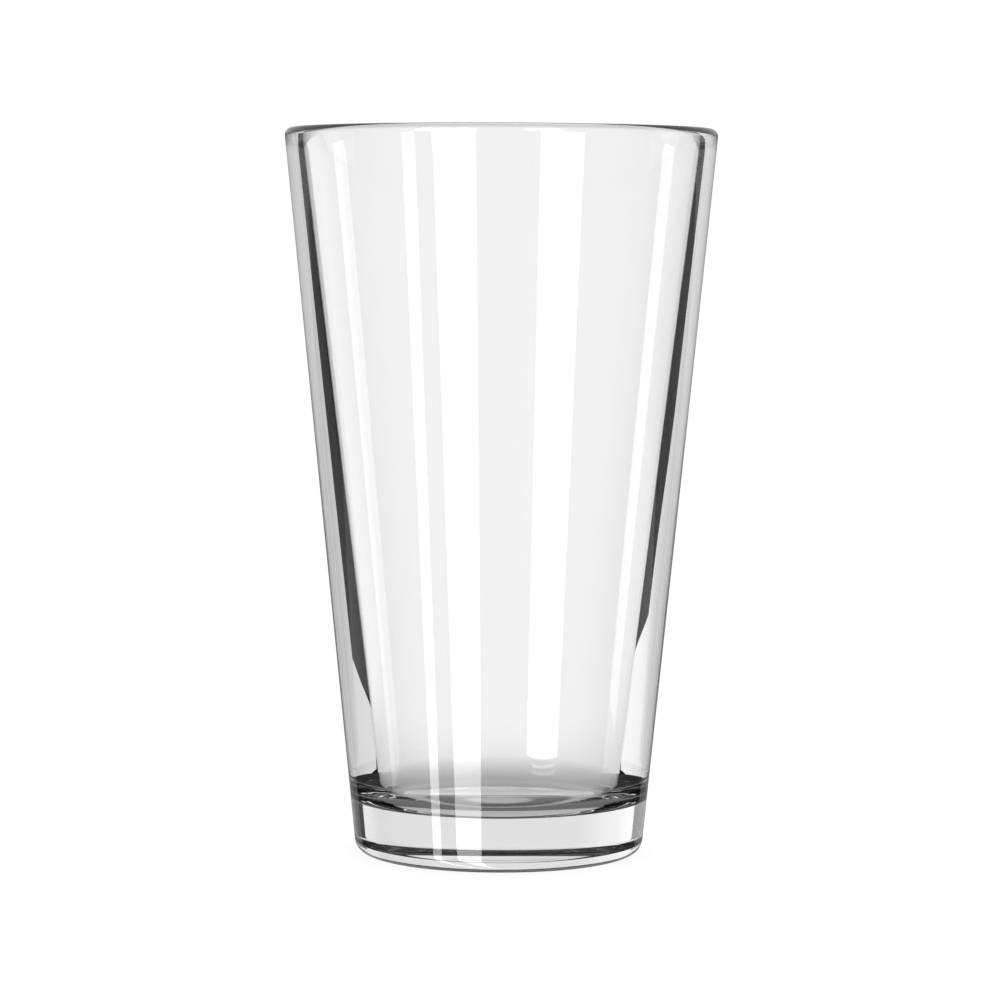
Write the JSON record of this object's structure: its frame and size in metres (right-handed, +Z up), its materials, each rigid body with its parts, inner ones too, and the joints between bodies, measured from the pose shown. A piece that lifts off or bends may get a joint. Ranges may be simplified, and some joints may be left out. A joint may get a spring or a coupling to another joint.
{
  "type": "mixing glass",
  "caption": "Tall tapered drinking and mixing glass in thick clear glass, with straight plain sides, a rounded rim, a heavy solid base and a shallow hollow underneath.",
  "frame": {"origin": "middle of the standing ring under the base, on the surface that the glass rests on", "axes": "+Z up along the glass's axis of symmetry, from the base to the rim; the glass is round, so X and Y are alike"},
  "size_m": [0.0886, 0.0886, 0.1492],
  "materials": {
    "clear_glass": "polished clear"
  },
  "bodies": {
    "root": {"glass_body": "clear_glass"}
  },
  "joints": []
}
